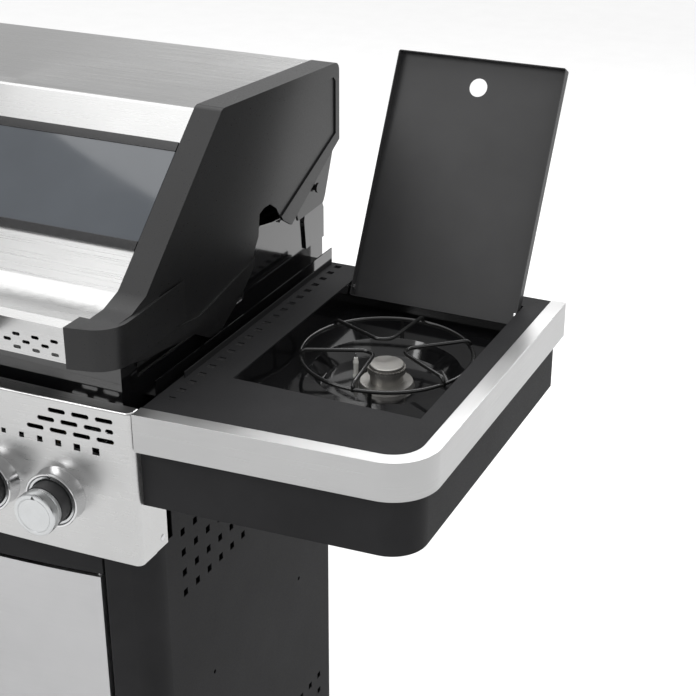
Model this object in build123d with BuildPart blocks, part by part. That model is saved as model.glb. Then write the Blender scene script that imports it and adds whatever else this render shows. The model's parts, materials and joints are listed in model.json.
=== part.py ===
from build123d import *
from math import cos, radians, sin
import os

# Gas barbecue grill with a hinged hood, a side burner and a cabinet on casters.
#
# Millimetres. The origin is on the floor under the middle of the grill, +X is to the right
# of someone standing at the knobs, +Y is away from them and +Z is up.

os.makedirs("parts", exist_ok=True)

# ---------------------------------------------------------------- driving dimensions
SHELF_Z = 900.0        # height of the side shelves above the floor
FRONT_Y = -266.8       # front edge of the side shelves where they meet the control panel
PANEL_W = 640.0        # width of the control panel between the two shelves
SHELF_W = 330.0        # width of one side shelf
SHELF_D = 490.0        # depth of the side shelves and of the cabinet
SHEET = 1.5            # thickness of the folded steel sheets

PANEL_H = 195.0        # height of the control panel
PANEL_WRAP = 58.0      # how far the panel's ends wrap back
BOW_ANGLE = 3.5        # angle of the bowed front at the panel's ends
KNOB_COUNT = 6
KNOB_PITCH = 88.0
KNOB_DROP = 120.0      # height of the knob axes below the shelf top

HOOD_END_X = 302.0     # outer face of a hood end casting, from the middle
HOOD_RIM_X = 266.0     # inner face of its rim, where the hood skin ends
HINGE_Y = 489.0        # hood hinge behind the shelf front
HINGE_Z = 101.0        # hood hinge above the shelf top
HINGE_R = 4.0

TRIM_H = 46.0          # height of the shelf's steel trim band
TRIM_RIM = 19.0        # width of its top rim
SKIRT_DROP = 120.0     # bottom of the shelf skirt below the shelf top
CORNER_R = 55.0        # rounding of the shelf's outer front corner
FRONT_RAKE = 3.8       # angle at which the shelf front runs back towards its outer end

RECESS_X = 54.0        # side burner recess, from the shelf's inner edge
RECESS_W = 230.0
RECESS_Y = 127.0
RECESS_D = 333.0
LID_PIVOT_Y = 443.0
LID_PIVOT_Z = -9.0
LID_LEAN = 27.8        # lean of the open lid behind upright
LID_LEN = 314.5
FLOOR_DROP = 36.0      # floor of the recess below the shelf top
BURNER_R = 103.0       # radius of the pan support's ring

CABINET_X = 315.0      # outer face of the cabinet sides
CABINET_TOP = SHELF_Z - 18.0
BASE_Z = 118.0         # underside of the base shelf
WHEEL_R = 38.0
MAIN_BURNERS = 5
BURNER_PITCH = 110.0


def at_depth(depth):
    """Y of a point this far behind the front edge of the shelves."""
    return FRONT_Y + depth


def side_view(points):
    """Points of a side profile, from depths and heights above the shelf top."""
    return [(at_depth(depth), SHELF_Z + height) for depth, height in points]


def side_plane(x):
    """Plane across the grill whose normal is +X."""
    return Plane.YZ.offset(x)


BURNER_X = PANEL_W / 2 + RECESS_X + RECESS_W / 2 + 5.0
BURNER_Y = at_depth(286.0)
knob_xs = [KNOB_PITCH * (index - (KNOB_COUNT - 1) / 2) for index in range(KNOB_COUNT)]
burner_xs = [BURNER_PITCH * (index - (MAIN_BURNERS - 1) / 2) for index in range(MAIN_BURNERS)]

# ---------------------------------------------------------------- control panel
PANEL_LEDGE = 15.0     # depth of the panel's top edge
CREASE_DROP = 51.0     # crease across the panel, below its top
bow_radius = PANEL_W / 2 / sin(radians(BOW_ANGLE))
BOW_RISE = bow_radius * (1 - cos(radians(BOW_ANGLE)))


def panel_plan(inset, back):
    """Plan of the panel with its bowed front, held in on the front and the ends."""
    half = PANEL_W / 2 - inset
    with BuildSketch() as plan:
        with BuildLine():
            front = ThreePointArc((-half, at_depth(inset)), (0, at_depth(inset - BOW_RISE)),
                                  (half, at_depth(inset)))
            Polyline(front @ 1, (half, at_depth(back)), (-half, at_depth(back)), front @ 0)
        make_face()
        fillet(plan.vertices().group_by(Axis.Y)[0], 8 - inset)
    return plan.sketch


with BuildPart() as control_panel:
    with BuildSketch(Plane.XY.offset(SHELF_Z)):
        add(panel_plan(0, PANEL_WRAP))
    extrude(amount=-PANEL_H)
    fillet(control_panel.faces().sort_by(Axis.Z)[-1].edges().sort_by(Axis.Y)[0], 3)
    with BuildSketch(Plane.XY.offset(SHELF_Z - SHEET)):
        add(panel_plan(SHEET, PANEL_WRAP + 10))
    extrude(amount=-PANEL_H, mode=Mode.SUBTRACT)
    # only a narrow ledge is folded back at the top
    with BuildSketch(Plane.XY.offset(SHELF_Z + 1)):
        with Locations((0, at_depth(PANEL_LEDGE + 50))):
            Rectangle(PANEL_W + 10, 100)
    extrude(amount=-(SHEET + 12), mode=Mode.SUBTRACT)
    # the face below the crease is pressed back a little
    with BuildSketch(Plane.XY.offset(SHELF_Z - CREASE_DROP)):
        with BuildLine():
            crease = ThreePointArc((-PANEL_W, at_depth(0.6)), (0, at_depth(0.6 - BOW_RISE)),
                                   (PANEL_W, at_depth(0.6)))
            Polyline(crease @ 1, (PANEL_W, at_depth(-40)), (-PANEL_W, at_depth(-40)), crease @ 0)
        make_face()
    extrude(amount=-PANEL_H, mode=Mode.SUBTRACT)
    # the ends step in by a sheet's thickness where the shelf tabs overlap them
    for side in (-1, 1):
        with BuildSketch(Plane.XY.offset(SHELF_Z)):
            with Locations((side * PANEL_W / 2, at_depth(33 + 30))):
                Rectangle(1.4, 60)
        extrude(amount=-PANEL_H, mode=Mode.SUBTRACT)
    # valve stems and the cooling slots and squares at both ends
    with BuildSketch(Plane.XZ.offset(-at_depth(0) + 60)):
        with Locations(*[(x, SHELF_Z - KNOB_DROP) for x in knob_xs]):
            Circle(12)
        for side in (-1, 1):
            for row in range(3):
                for column in range(3):
                    x = PANEL_W / 2 - 35 - 15 * row - 30 * column
                    with Locations((side * x, SHELF_Z - 14.5 - 12.5 * row)):
                        SlotOverall(22, 5.5)
            with Locations((side * (PANEL_W / 2 - 35), SHELF_Z - 14.5 - 25)):
                SlotOverall(22, 5.5)
            with Locations((side * (PANEL_W / 2 - 29), SHELF_Z - 14.5 - 12.5)):
                SlotOverall(10, 5.5)
            for column in range(6):
                size = 9.0 - 0.6 * column
                x = PANEL_W / 2 - 48 - 24.2 * column
                with Locations((side * x, SHELF_Z - CREASE_DROP - size / 2)):
                    Rectangle(size, size)
    extrude(amount=-100, mode=Mode.SUBTRACT)
control_panel.part.label = "control_panel"
export_step(control_panel.part, "parts/control_panel.step")

# ---------------------------------------------------------------- hood skin and window
CREASE = (71, 106)     # foot of the sloping front
FOLD = (249, 267)      # top of the sloping front
LIP_DEPTH = -8.0       # the hood's front lip, in front of the shelf edge
LIP_TOP = 97.0
LIP_BOTTOM = 49.0
FOOT_X = 253.0         # inner face of the end castings' feet
FOOT_BACK = 14.0
WINDOW_LOW = 0.21      # window along the slope, from its foot
WINDOW_HIGH = 0.80
WINDOW_STRIP = 12.0    # width of the strips above and below the glass
slope_run = FOLD[0] - CREASE[0]
slope_rise = FOLD[1] - CREASE[1]
SLOPE_LEN = (slope_run ** 2 + slope_rise ** 2) ** 0.5
slope_dir = (0, slope_run / SLOPE_LEN, slope_rise / SLOPE_LEN)
slope_out = (0, -slope_rise / SLOPE_LEN, slope_run / SLOPE_LEN)
WINDOW_W = 2 * HOOD_RIM_X - 1
WINDOW_LEN = SLOPE_LEN * (WINDOW_HIGH - WINDOW_LOW)
window_mid = SLOPE_LEN * (WINDOW_HIGH + WINDOW_LOW) / 2


def hood_profile(inset, below=0):
    """Side profile of the hood, drawn flat, held in by inset and closed across its underside."""
    foot = (CREASE[0] + 0.9 * inset, CREASE[1] - inset)
    with BuildSketch() as profile:
        with BuildLine():
            Polyline(*side_view([(LIP_DEPTH + inset, LIP_BOTTOM - below), (553 - inset, 148 - below),
                                 (553 - inset, 254 - inset), (FOLD[0], FOLD[1] - 1.3 * inset), foot]))
            Spline(*side_view([foot, (CREASE[0] - 30, 96 - inset), (LIP_DEPTH + 8, LIP_TOP - inset)]))
            Polyline(*side_view([(LIP_DEPTH + 8, LIP_TOP - inset), (LIP_DEPTH + inset, LIP_TOP - 6),
                                 (LIP_DEPTH + inset, LIP_BOTTOM - below)]))
        make_face()
        fillet(profile.vertices().sort_by(Axis.Y)[-2:], 9 - inset)
    return profile.sketch


def on_slope(along, out):
    """Plane lying on the hood's sloping front, its X across the grill and its Y up the slope."""
    depth = CREASE[0] + slope_dir[1] * along + slope_out[1] * out
    height = CREASE[1] + slope_dir[2] * along + slope_out[2] * out
    return Plane(origin=(0, at_depth(depth), SHELF_Z + height), x_dir=(1, 0, 0), z_dir=slope_out)


with BuildPart() as hood_shell:
    with BuildSketch(side_plane(-HOOD_RIM_X)):
        add(hood_profile(0))
        add(hood_profile(SHEET, 20), mode=Mode.SUBTRACT)
        # short return under the lip
        with Locations(side_view([(LIP_DEPTH + 8, LIP_BOTTOM + SHEET / 2)])[0]):
            Rectangle(15, SHEET)
    extrude(amount=2 * HOOD_RIM_X)
    with BuildSketch(on_slope(window_mid, -8)):
        Rectangle(WINDOW_W - 30, WINDOW_LEN - 44)
    extrude(amount=20, mode=Mode.SUBTRACT)
    # slanted rows of small slots at both ends of the lip
    with BuildSketch(Plane.XZ.offset(-at_depth(LIP_DEPTH) + 10)):
        for side in (-1, 1):
            for row in range(3):
                for column in range(3):
                    x = PANEL_W / 2 - 87 - 12.5 * row - 25 * (column - (row > 1))
                    with Locations((side * x, SHELF_Z + 72.5 - 7.8 * row)):
                        SlotOverall(10, 4)
    extrude(amount=-24, mode=Mode.SUBTRACT)
    # the feet of the end castings fill the lip's outer ends
    for side in (-1, 1):
        with BuildSketch(Plane.XY.offset(SHELF_Z + LIP_BOTTOM - 5)):
            with Locations((side * (FOOT_X + 20), at_depth(FOOT_BACK - 30))):
                Rectangle(40, 60)
        extrude(amount=60, mode=Mode.SUBTRACT)
hood_shell.part.label = "hood_shell"
export_step(hood_shell.part, "parts/hood_shell.step")

with BuildPart() as window_frame:
    with BuildSketch(on_slope(window_mid, 0)):
        with GridLocations(0, WINDOW_LEN - WINDOW_STRIP, 1, 2):
            Rectangle(WINDOW_W, WINDOW_STRIP)
    extrude(amount=3)
window_frame.part.label = "window_frame"
export_step(window_frame.part, "parts/window_frame.step")

with BuildPart() as window_glass:
    with BuildSketch(on_slope(window_mid, 0)):
        Rectangle(WINDOW_W, WINDOW_LEN - 2 * WINDOW_STRIP - 0.2)
    extrude(amount=2)
window_glass.part.label = "window_glass"
export_step(window_glass.part, "parts/window_glass.step")

# ---------------------------------------------------------------- hood end castings
END_WALL = 4.0
rim_run = HOOD_END_X - HOOD_RIM_X
NOTCH = [(318, 71), (330, 87), (334, 115), (346, 119), (362, 119), (378, 108), (392, 88)]


def end_outline(inset):
    """Outline of a hood end casting, held in along its front, top and back."""
    return side_view([(LIP_DEPTH + 20 + inset, 48), (60, 36), (168, 22), (200, 4), (225, 2), (262, 20),
                      (289, 36), (311, 52)] + NOTCH +
                     [(415, 74), (529 - inset, 135), (557 - inset, 149), (557 - inset, 254 - inset),
                      (250, 271 - 1.35 * inset), (70 + 0.9 * inset, 108 - inset),
                      (40, 98 - inset), (LIP_DEPTH + 20 + inset, 97 - inset)])


with BuildPart() as hood_end_right:
    with BuildSketch(side_plane(HOOD_END_X)) as outline:
        Polygon(*end_outline(0), align=None)
        fillet(outline.vertices().sort_by(Axis.Y)[-2:], 12)
    extrude(amount=-rim_run)
    # hollow behind the rim, open towards the fire and underneath
    with BuildSketch(side_plane(HOOD_END_X - END_WALL)):
        Polygon(*side_view([(LIP_DEPTH + 40, 0), (LIP_DEPTH + 40, 90), (62, 96), (84, 112),
                            (250, 262), (551, 246), (551, 0)]), align=None)
    extrude(amount=-rim_run, mode=Mode.SUBTRACT)
    # rounded foot that runs forward beside the lip
    with BuildSketch(Plane.XY.offset(SHELF_Z + 48)) as foot:
        with BuildLine():
            Polyline((FOOT_X, at_depth(LIP_DEPTH - 9)), (HOOD_END_X + 6, at_depth(-6)),
                     (HOOD_END_X + 6, at_depth(30)), (HOOD_END_X, at_depth(150)),
                     (HOOD_END_X - END_WALL, at_depth(150)), (HOOD_END_X - END_WALL, at_depth(FOOT_BACK)),
                     (FOOT_X, at_depth(FOOT_BACK)), close=True)
        make_face()
        fillet(foot.vertices().sort_by_distance((HOOD_END_X + 6, at_depth(-6), SHELF_Z + 48))[0], 36)
    extrude(amount=49)
    field_edges = side_view([(96, 98), (262, 250), (540, 237), (546, 231), (546, 160),
                             (393, 96), (300, 60), (180, 40), (100, 50)])
    with BuildSketch(side_plane(HOOD_END_X)):
        Polygon(*field_edges, align=None)
    extrude(amount=-2.2, mode=Mode.SUBTRACT)
hood_end_right.part.label = "hood_end_right"
export_step(hood_end_right.part, "parts/hood_end_right.step")

with BuildPart() as hood_end_left:
    mirror(hood_end_right.part, about=Plane.YZ)
hood_end_left.part.label = "hood_end_left"
export_step(hood_end_left.part, "parts/hood_end_left.step")

# ---------------------------------------------------------------- hood handle
HANDLE_W = 280.0
HANDLE_R = 11.0
handle_y = at_depth(LIP_DEPTH - 36)
handle_z = SHELF_Z + 76

with BuildPart() as hood_handle:
    with BuildSketch(side_plane(-HANDLE_W / 2)):
        with Locations((handle_y, handle_z)):
            Circle(HANDLE_R)
            Circle(HANDLE_R - 1.5, mode=Mode.SUBTRACT)
    extrude(amount=HANDLE_W)
hood_handle.part.label = "hood_handle"
export_step(hood_handle.part, "parts/hood_handle.step")

with BuildPart() as handle_posts:
    for side in (-1, 1):
        with BuildSketch(Plane.XZ.offset(-at_depth(LIP_DEPTH))):
            with Locations((side * (HANDLE_W / 2 - 4), handle_z)):
                RectangleRounded(20, 30, 6)
        extrude(amount=48)
    for side in (-1, 1):
        with BuildSketch(side_plane(side * (HANDLE_W / 2 - 40))):
            with Locations((handle_y, handle_z)):
                Circle(HANDLE_R)
        extrude(amount=side * 40, mode=Mode.SUBTRACT)
handle_posts.part.label = "handle_posts"
export_step(handle_posts.part, "parts/handle_posts.step")

# ---------------------------------------------------------------- hood hinges
TAB_X = HOOD_END_X - END_WALL - 3.0
EAR_X = TAB_X - 0.6

with BuildPart() as hood_hinge_tabs:
    for side in (-1, 1):
        with BuildSketch(side_plane(side * TAB_X)):
            Polygon(*side_view([(434, 91), (441, 70), (514, 72), (520, 80), (544, 136),
                                (544, 190), (434, 190)]), align=None)
            with Locations(side_view([(HINGE_Y, HINGE_Z)])[0]):
                Circle(HINGE_R + 0.05, mode=Mode.SUBTRACT)
        extrude(amount=side * 3)
hood_hinge_tabs.part.label = "hood_hinge_tabs"
export_step(hood_hinge_tabs.part, "parts/hood_hinge_tabs.step")

with BuildPart() as hood_hinge_bolts:
    for side in (-1, 1):
        with BuildSketch(side_plane(side * (EAR_X - 6))):
            with Locations(side_view([(HINGE_Y, HINGE_Z)])[0]):
                Circle(HINGE_R)
        extrude(amount=side * 13.2)
        with BuildSketch(side_plane(side * (EAR_X + 7))):
            with Locations(side_view([(HINGE_Y, HINGE_Z)])[0]):
                Circle(6.5)
        extrude(amount=side * 3)
hood_hinge_bolts.part.label = "hood_hinge_bolts"
export_step(hood_hinge_bolts.part, "parts/hood_hinge_bolts.step")

# ---------------------------------------------------------------- firebox
BOX_X = 291.0          # outer face of the firebox walls
WALL = 1.6
BOX_OUTLET = 150.0     # half width of the grease outlet


def box_section(inset, above=0):
    """Side profile of the firebox, held in by its wall."""
    inner = [(28 + inset, 40 + above), (28 + inset, -12 + inset), (78 + inset, -48 + inset),
             (78 + inset, -112 + inset), (215, -172 + inset), (335, -172 + inset),
             (525 - inset, -112 + inset), (525 - inset, 62 + above)]
    return side_view(inner)


with BuildPart() as firebox:
    with BuildSketch(side_plane(-BOX_X)):
        Polygon(*box_section(0), align=None)
    extrude(amount=2 * BOX_X)
    with BuildSketch(side_plane(-BOX_X + WALL)):
        Polygon(*box_section(WALL, 60), align=None)
    extrude(amount=2 * (BOX_X - WALL), mode=Mode.SUBTRACT)
    # the side walls are cut down to shelf level between the front and the rear upstand
    with BuildSketch(side_plane(-BOX_X - 5)):
        Polygon(*side_view([(60, 45), (60, 12), (306, 12), (306, 90), (60, 90)]), align=None)
    extrude(amount=2 * BOX_X + 10, mode=Mode.SUBTRACT)
    # high rear ends of the side walls, under the hood's castings
    for side in (-1, 1):
        with BuildSketch(side_plane(side * (BOX_X - WALL))):
            Polygon(*side_view([(300, 8), (318, 66), (332, 88), (350, 92), (382, 86), (420, 82),
                                (470, 86), (520, 88), (525, 84), (525, 8)]), align=None)
        extrude(amount=side * WALL)
    with BuildSketch(Plane.XY.offset(SHELF_Z - 160)):
        with Locations((0, at_depth(275))):
            Rectangle(2 * BOX_OUTLET, 90)
    extrude(amount=-20, mode=Mode.SUBTRACT)
    for side in (-1, 1):
        # ears that carry the hood hinge bolts
        with BuildSketch(side_plane(side * BOX_X)):
            Polygon(*side_view([(470, 20), (523, 20), (523, 62), (505, 100), (HINGE_Y, 116),
                                (473, 100), (465, 60)]), align=None)
            with Locations(side_view([(HINGE_Y, HINGE_Z)])[0]):
                Circle(HINGE_R, mode=Mode.SUBTRACT)
        extrude(amount=side * (EAR_X - BOX_X))
        # gutter flange with its upstanding edge beside the shelf
        with BuildSketch(Plane.XY.offset(SHELF_Z - 14)):
            with Locations((side * (BOX_X + 308) / 2, at_depth(295))):
                Rectangle(308 - BOX_X + 0.2, 450)
        extrude(amount=WALL)
        with BuildSketch(Plane.XY.offset(SHELF_Z - 14)):
            with Locations((side * (308 - WALL / 2), at_depth(295))):
                Rectangle(WALL, 450)
        extrude(amount=20)
    # hangers that carry the firebox on the cabinet sides
    for side in (-1, 1):
        for depth in (110, 440):
            with BuildSketch(Plane.XY.offset(SHELF_Z - 60)):
                with Locations((side * (BOX_X + CABINET_X - 1.2) / 2, at_depth(depth))):
                    Rectangle(CABINET_X - 1.2 - BOX_X, 40)
            extrude(amount=-3)
    # grate ledges on the front and rear walls
    for depth in (28 + WALL + 7, 525 - WALL - 7):
        with BuildSketch(Plane.XY.offset(SHELF_Z - 10)):
            with Locations((0, at_depth(depth))):
                Rectangle(2 * BOX_X - 4, 14.4)
        extrude(amount=-WALL)
    # holes for the burner tubes
    with BuildSketch(Plane.XZ.offset(-at_depth(70))):
        with Locations(*[(x, SHELF_Z - 85) for x in burner_xs]):
            Circle(12.5)
    extrude(amount=-20, mode=Mode.SUBTRACT)
firebox.part.label = "firebox"
export_step(firebox.part, "parts/firebox.step")

# ---------------------------------------------------------------- burners, heat tents, grates
with BuildPart() as main_burners:
    for x in burner_xs:
        with BuildSketch(Plane.XZ.offset(-at_depth(68))):
            with Locations((x, SHELF_Z - 85)):
                Circle(12.0)
        extrude(amount=-420)
    for x in burner_xs:
        with BuildSketch(Plane.XZ.offset(-at_depth(67.9))):
            with Locations((x, SHELF_Z - 85)):
                Circle(10.5)
        extrude(amount=-415, mode=Mode.SUBTRACT)
    # flame ports along both sides of every tube
    with BuildSketch(Plane.YZ.offset(-BOX_X)):
        for step in range(22):
            with Locations((at_depth(115 + 16 * step), SHELF_Z - 80)):
                Circle(1.2)
    extrude(amount=2 * BOX_X, mode=Mode.SUBTRACT)
main_burners.part.label = "main_burners"
export_step(main_burners.part, "parts/main_burners.step")

with BuildPart() as heat_tents:
    for x in burner_xs:
        with BuildSketch(Plane.XZ.offset(-at_depth(90))):
            with BuildLine():
                Polyline((x - 40, SHELF_Z - 62), (x, SHELF_Z - 38), (x + 40, SHELF_Z - 62))
                offset(amount=1.2, side=Side.LEFT)
            make_face()
        extrude(amount=-425)
heat_tents.part.label = "heat_tents"
export_step(heat_tents.part, "parts/heat_tents.step")

GRATE_W = 283.0
GRATE_D = 488.0
for name, side in (("grate_left", -1), ("grate_right", 1)):
    with BuildPart() as grate:
        with BuildSketch(Plane.XY.offset(SHELF_Z - 9.9)):
            with Locations((side * (GRATE_W / 2 + 1), at_depth(276.5))):
                RectangleRounded(GRATE_W, GRATE_D, 10)
                RectangleRounded(GRATE_W - 20, GRATE_D - 20, 4, mode=Mode.SUBTRACT)
                with GridLocations(20, 0, 13, 1):
                    Rectangle(7, GRATE_D - 16)
                with GridLocations(0, 160, 1, 2):
                    Rectangle(GRATE_W - 16, 8)
        extrude(amount=12)
    grate.part.label = name
    export_step(grate.part, f"parts/{name}.step")

# ---------------------------------------------------------------- warming rack
RACK_WIRE = 2.5
with BuildPart() as warming_rack:
    rack_z = SHELF_Z + 118
    for depth in (400, 520):
        with BuildSketch(side_plane(-250)):
            with Locations((at_depth(depth), rack_z)):
                Circle(RACK_WIRE)
        extrude(amount=500)
    with BuildSketch(Plane.XZ.offset(-at_depth(396))):
        with Locations(*[(-250 + 20 * step, rack_z) for step in range(26)]):
            Circle(RACK_WIRE)
    extrude(amount=-128)
    # legs that stand on the rear corners of the grates
    for side in (-1, 1):
        for depth in (402, 505):
            with BuildSketch(Plane.XY.offset(SHELF_Z + 2.2)):
                with Locations((side * 248.5, at_depth(depth))):
                    Circle(RACK_WIRE)
            extrude(amount=rack_z - SHELF_Z - 2.2)
warming_rack.part.label = "warming_rack"
export_step(warming_rack.part, "parts/warming_rack.step")

# ---------------------------------------------------------------- gas train
MANIFOLD_Y = at_depth(48)
STEM_R = 4.0
STEM_BACK = 28.0       # the valve stems start this far behind the panel's face
STEM_OUT = 15.0        # and end this far in front of it, inside the knobs


def knob_plane(x, out=0):
    """Plane square to a knob's axis, where the axis meets the bowed panel."""
    turn = x / bow_radius
    depth = bow_radius * (1 - cos(turn)) - BOW_RISE
    origin = (x + sin(turn) * out, at_depth(depth) - cos(turn) * out, SHELF_Z - KNOB_DROP)
    return Plane(origin=origin, x_dir=(cos(turn), sin(turn), 0), z_dir=(sin(turn), -cos(turn), 0))


with BuildPart() as gas_manifold:
    with BuildSketch(side_plane(-BOX_X + 20)):
        with Locations((MANIFOLD_Y, SHELF_Z - 150)):
            Circle(9)
    extrude(amount=2 * BOX_X - 20)
    # inlet elbow and union for the gas supply, at the left end
    with BuildSketch(Plane.XZ.offset(-MANIFOLD_Y)):
        with Locations((-BOX_X + 30, SHELF_Z - 150)):
            Circle(8)
    extrude(amount=-60)
    with BuildSketch(Plane.XZ.offset(-MANIFOLD_Y - 60)):
        with Locations((-BOX_X + 30, SHELF_Z - 150)):
            RegularPolygon(11, 6)
    extrude(amount=-16)
    with BuildSketch(Plane.XZ.offset(-MANIFOLD_Y - 76)):
        with Locations((-BOX_X + 30, SHELF_Z - 150)):
            Circle(8.3)
            Circle(5, mode=Mode.SUBTRACT)
    extrude(amount=-14)
gas_manifold.part.label = "gas_manifold"
export_step(gas_manifold.part, "parts/gas_manifold.step")

with BuildPart() as gas_valves:
    for x in knob_xs:
        with BuildSketch(Plane.XZ.offset(-at_depth(16))):
            with Locations((x, SHELF_Z - KNOB_DROP)):
                Circle(11)
        extrude(amount=-46)
        with BuildSketch(Plane.XY.offset(SHELF_Z - KNOB_DROP)):
            with Locations((x, MANIFOLD_Y)):
                Circle(5)
        extrude(amount=-21.5)
        with BuildSketch(knob_plane(x, -STEM_BACK)):
            Circle(STEM_R)
        extrude(amount=STEM_BACK + STEM_OUT)
gas_valves.part.label = "gas_valves"
export_step(gas_valves.part, "parts/gas_valves.step")

# ---------------------------------------------------------------- knobs
BEZEL_R = 33.0
BEZEL_LEN = 20.0
GRIP_R = 25.5
CAP_R = 26.3
KNOB_LEN = 53.0

with BuildPart() as knob_bezels:
    for x in knob_xs:
        with BuildSketch(knob_plane(x)):
            Circle(BEZEL_R + 1)
        extrude(amount=BEZEL_LEN - 4, taper=3)
        with BuildSketch(knob_plane(x, BEZEL_LEN - 4)):
            Circle(BEZEL_R)
        extrude(amount=4)
    for x in knob_xs:
        with BuildSketch(knob_plane(x, BEZEL_LEN - 2)):
            Circle(BEZEL_R - 2)
        extrude(amount=3, mode=Mode.SUBTRACT)
        with BuildSketch(knob_plane(x, -1)):
            Circle(GRIP_R + 0.6)
        extrude(amount=BEZEL_LEN, mode=Mode.SUBTRACT)
knob_bezels.part.label = "knob_bezels"
export_step(knob_bezels.part, "parts/knob_bezels.step")

KNOB_PROFILE = [(0, 4), (GRIP_R, 4), (GRIP_R, 34), (GRIP_R - 1, 35), (GRIP_R - 1, 40),
                (GRIP_R - 3, 40.5), (GRIP_R - 3, 42), (CAP_R, 42.5), (CAP_R, KNOB_LEN - 1.5),
                (CAP_R - 1.5, KNOB_LEN), (CAP_R - 5, KNOB_LEN), (CAP_R - 5.6, KNOB_LEN - 0.6),
                (CAP_R - 6.2, KNOB_LEN), (0, KNOB_LEN)]
for index, x in enumerate(knob_xs, start=1):
    face = knob_plane(x)
    with BuildPart() as knob:
        with BuildSketch(Plane(origin=face.origin, x_dir=face.x_dir, z_dir=-face.y_dir)):
            Polygon(*[(radius, along) for radius, along in KNOB_PROFILE], align=None)
        revolve(axis=Axis(face.origin, face.z_dir))
        with BuildSketch(knob_plane(x, 3)):
            Circle(STEM_R + 0.05)
        extrude(amount=14, mode=Mode.SUBTRACT)
        with BuildSketch(knob_plane(x, KNOB_LEN - 0.6)):
            with Locations((0, CAP_R - 7)):
                RegularPolygon(2.6, 3, rotation=90)
        extrude(amount=2, mode=Mode.SUBTRACT)
    knob.part.label = f"knob_{index}"
    export_step(knob.part, f"parts/knob_{index}.step")

# ---------------------------------------------------------------- side shelves
inner_x = PANEL_W / 2
rake = sin(radians(FRONT_RAKE)) / cos(radians(FRONT_RAKE))


def shelf_plan(inset, overrun=0):
    """Plan of the right shelf, held in from its front and outer edges."""
    right = inner_x + SHELF_W - inset
    left = inner_x - overrun
    rear = at_depth(SHELF_D) + overrun
    front = at_depth(inset)
    with BuildSketch() as plan:
        Polygon((left, front - overrun * rake), (right, front + rake * (right - inner_x)),
                (right, rear), (left, rear), align=None)
        corner = (right, front + rake * (right - inner_x), 0)
        fillet(plan.vertices().sort_by_distance(corner)[0], CORNER_R - inset)
    return plan.sketch


with BuildPart() as right_shelf_trim:
    for inset, top, height in ((TRIM_RIM, 0, SHEET), (SHEET, 0, TRIM_H), (12, SHEET - TRIM_H, SHEET)):
        with BuildSketch(Plane.XY.offset(SHELF_Z + top)):
            add(shelf_plan(0))
            add(shelf_plan(inset, 5), mode=Mode.SUBTRACT)
        extrude(amount=-height)
right_shelf_trim.part.label = "right_shelf_trim"
export_step(right_shelf_trim.part, "parts/right_shelf_trim.step")

SKIN_Z = SHELF_Z - SHEET   # the shelf plate lies just under the trim's rim
SKIRT_IN = 13.0
VENT_COUNT = 20
VENT_PITCH = 22.3
with BuildPart() as right_shelf:
    with BuildSketch(Plane.XY.offset(SKIN_Z)):
        add(shelf_plan(SHEET + 0.5))
    extrude(amount=-SHEET)
    # skirt on all four sides
    with BuildSketch(Plane.XY.offset(SKIN_Z - SHEET)):
        add(shelf_plan(SKIRT_IN))
    extrude(amount=-(SKIRT_DROP - 2 * SHEET))
    with BuildSketch(Plane.XY.offset(SKIN_Z - SHEET)):
        add(shelf_plan(SKIRT_IN + SHEET))
        with Locations((inner_x, at_depth(SHELF_D / 2))):
            Rectangle(2 * SHEET, SHELF_D + 40, mode=Mode.SUBTRACT)
        with Locations((inner_x + SHELF_W / 2, at_depth(SHELF_D))):
            Rectangle(SHELF_W + 40, 2 * SHEET, mode=Mode.SUBTRACT)
    extrude(amount=-SKIRT_DROP, mode=Mode.SUBTRACT)
    # upstanding edge beside the firebox
    with BuildSketch(Plane.XY.offset(SKIN_Z)):
        with Locations((inner_x + 4, at_depth(295))):
            Rectangle(SHEET, 380)
    extrude(amount=7)
    with BuildSketch(Plane.XY.offset(SKIN_Z)):
        with Locations((inner_x + 17, at_depth(54 + VENT_PITCH * (VENT_COUNT - 1) / 2))):
            with GridLocations(0, VENT_PITCH, 1, VENT_COUNT):
                Rectangle(9, 8.5)
        with Locations((inner_x + RECESS_X + RECESS_W / 2, at_depth(RECESS_Y + RECESS_D / 2))):
            Rectangle(RECESS_W, RECESS_D)
    extrude(amount=-SHEET, mode=Mode.SUBTRACT)
right_shelf.part.label = "right_shelf"
export_step(right_shelf.part, "parts/right_shelf.step")

with BuildPart() as left_shelf_trim:
    mirror(right_shelf_trim.part, about=Plane.YZ)
left_shelf_trim.part.label = "left_shelf_trim"
export_step(left_shelf_trim.part, "parts/left_shelf_trim.step")

WORKTOP_EDGE = 30.0    # plain edge left beside the vent slots


def worktop_plan(inset):
    """Plan of the raised worktop inside the left trim's rim, held in on every edge."""
    with BuildSketch() as plan:
        add(mirror(shelf_plan(TRIM_RIM + 0.5 + inset), about=Plane.YZ))
        with Locations((-inner_x - (WORKTOP_EDGE + inset) / 2, at_depth(SHELF_D / 2))):
            Rectangle(WORKTOP_EDGE + inset, SHELF_D + 40, mode=Mode.SUBTRACT)
        with Locations((-inner_x - SHELF_W / 2, at_depth(SHELF_D - 5))):
            Rectangle(SHELF_W + 40, 2 * (5 + inset), mode=Mode.SUBTRACT)
    return plan.sketch


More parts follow.
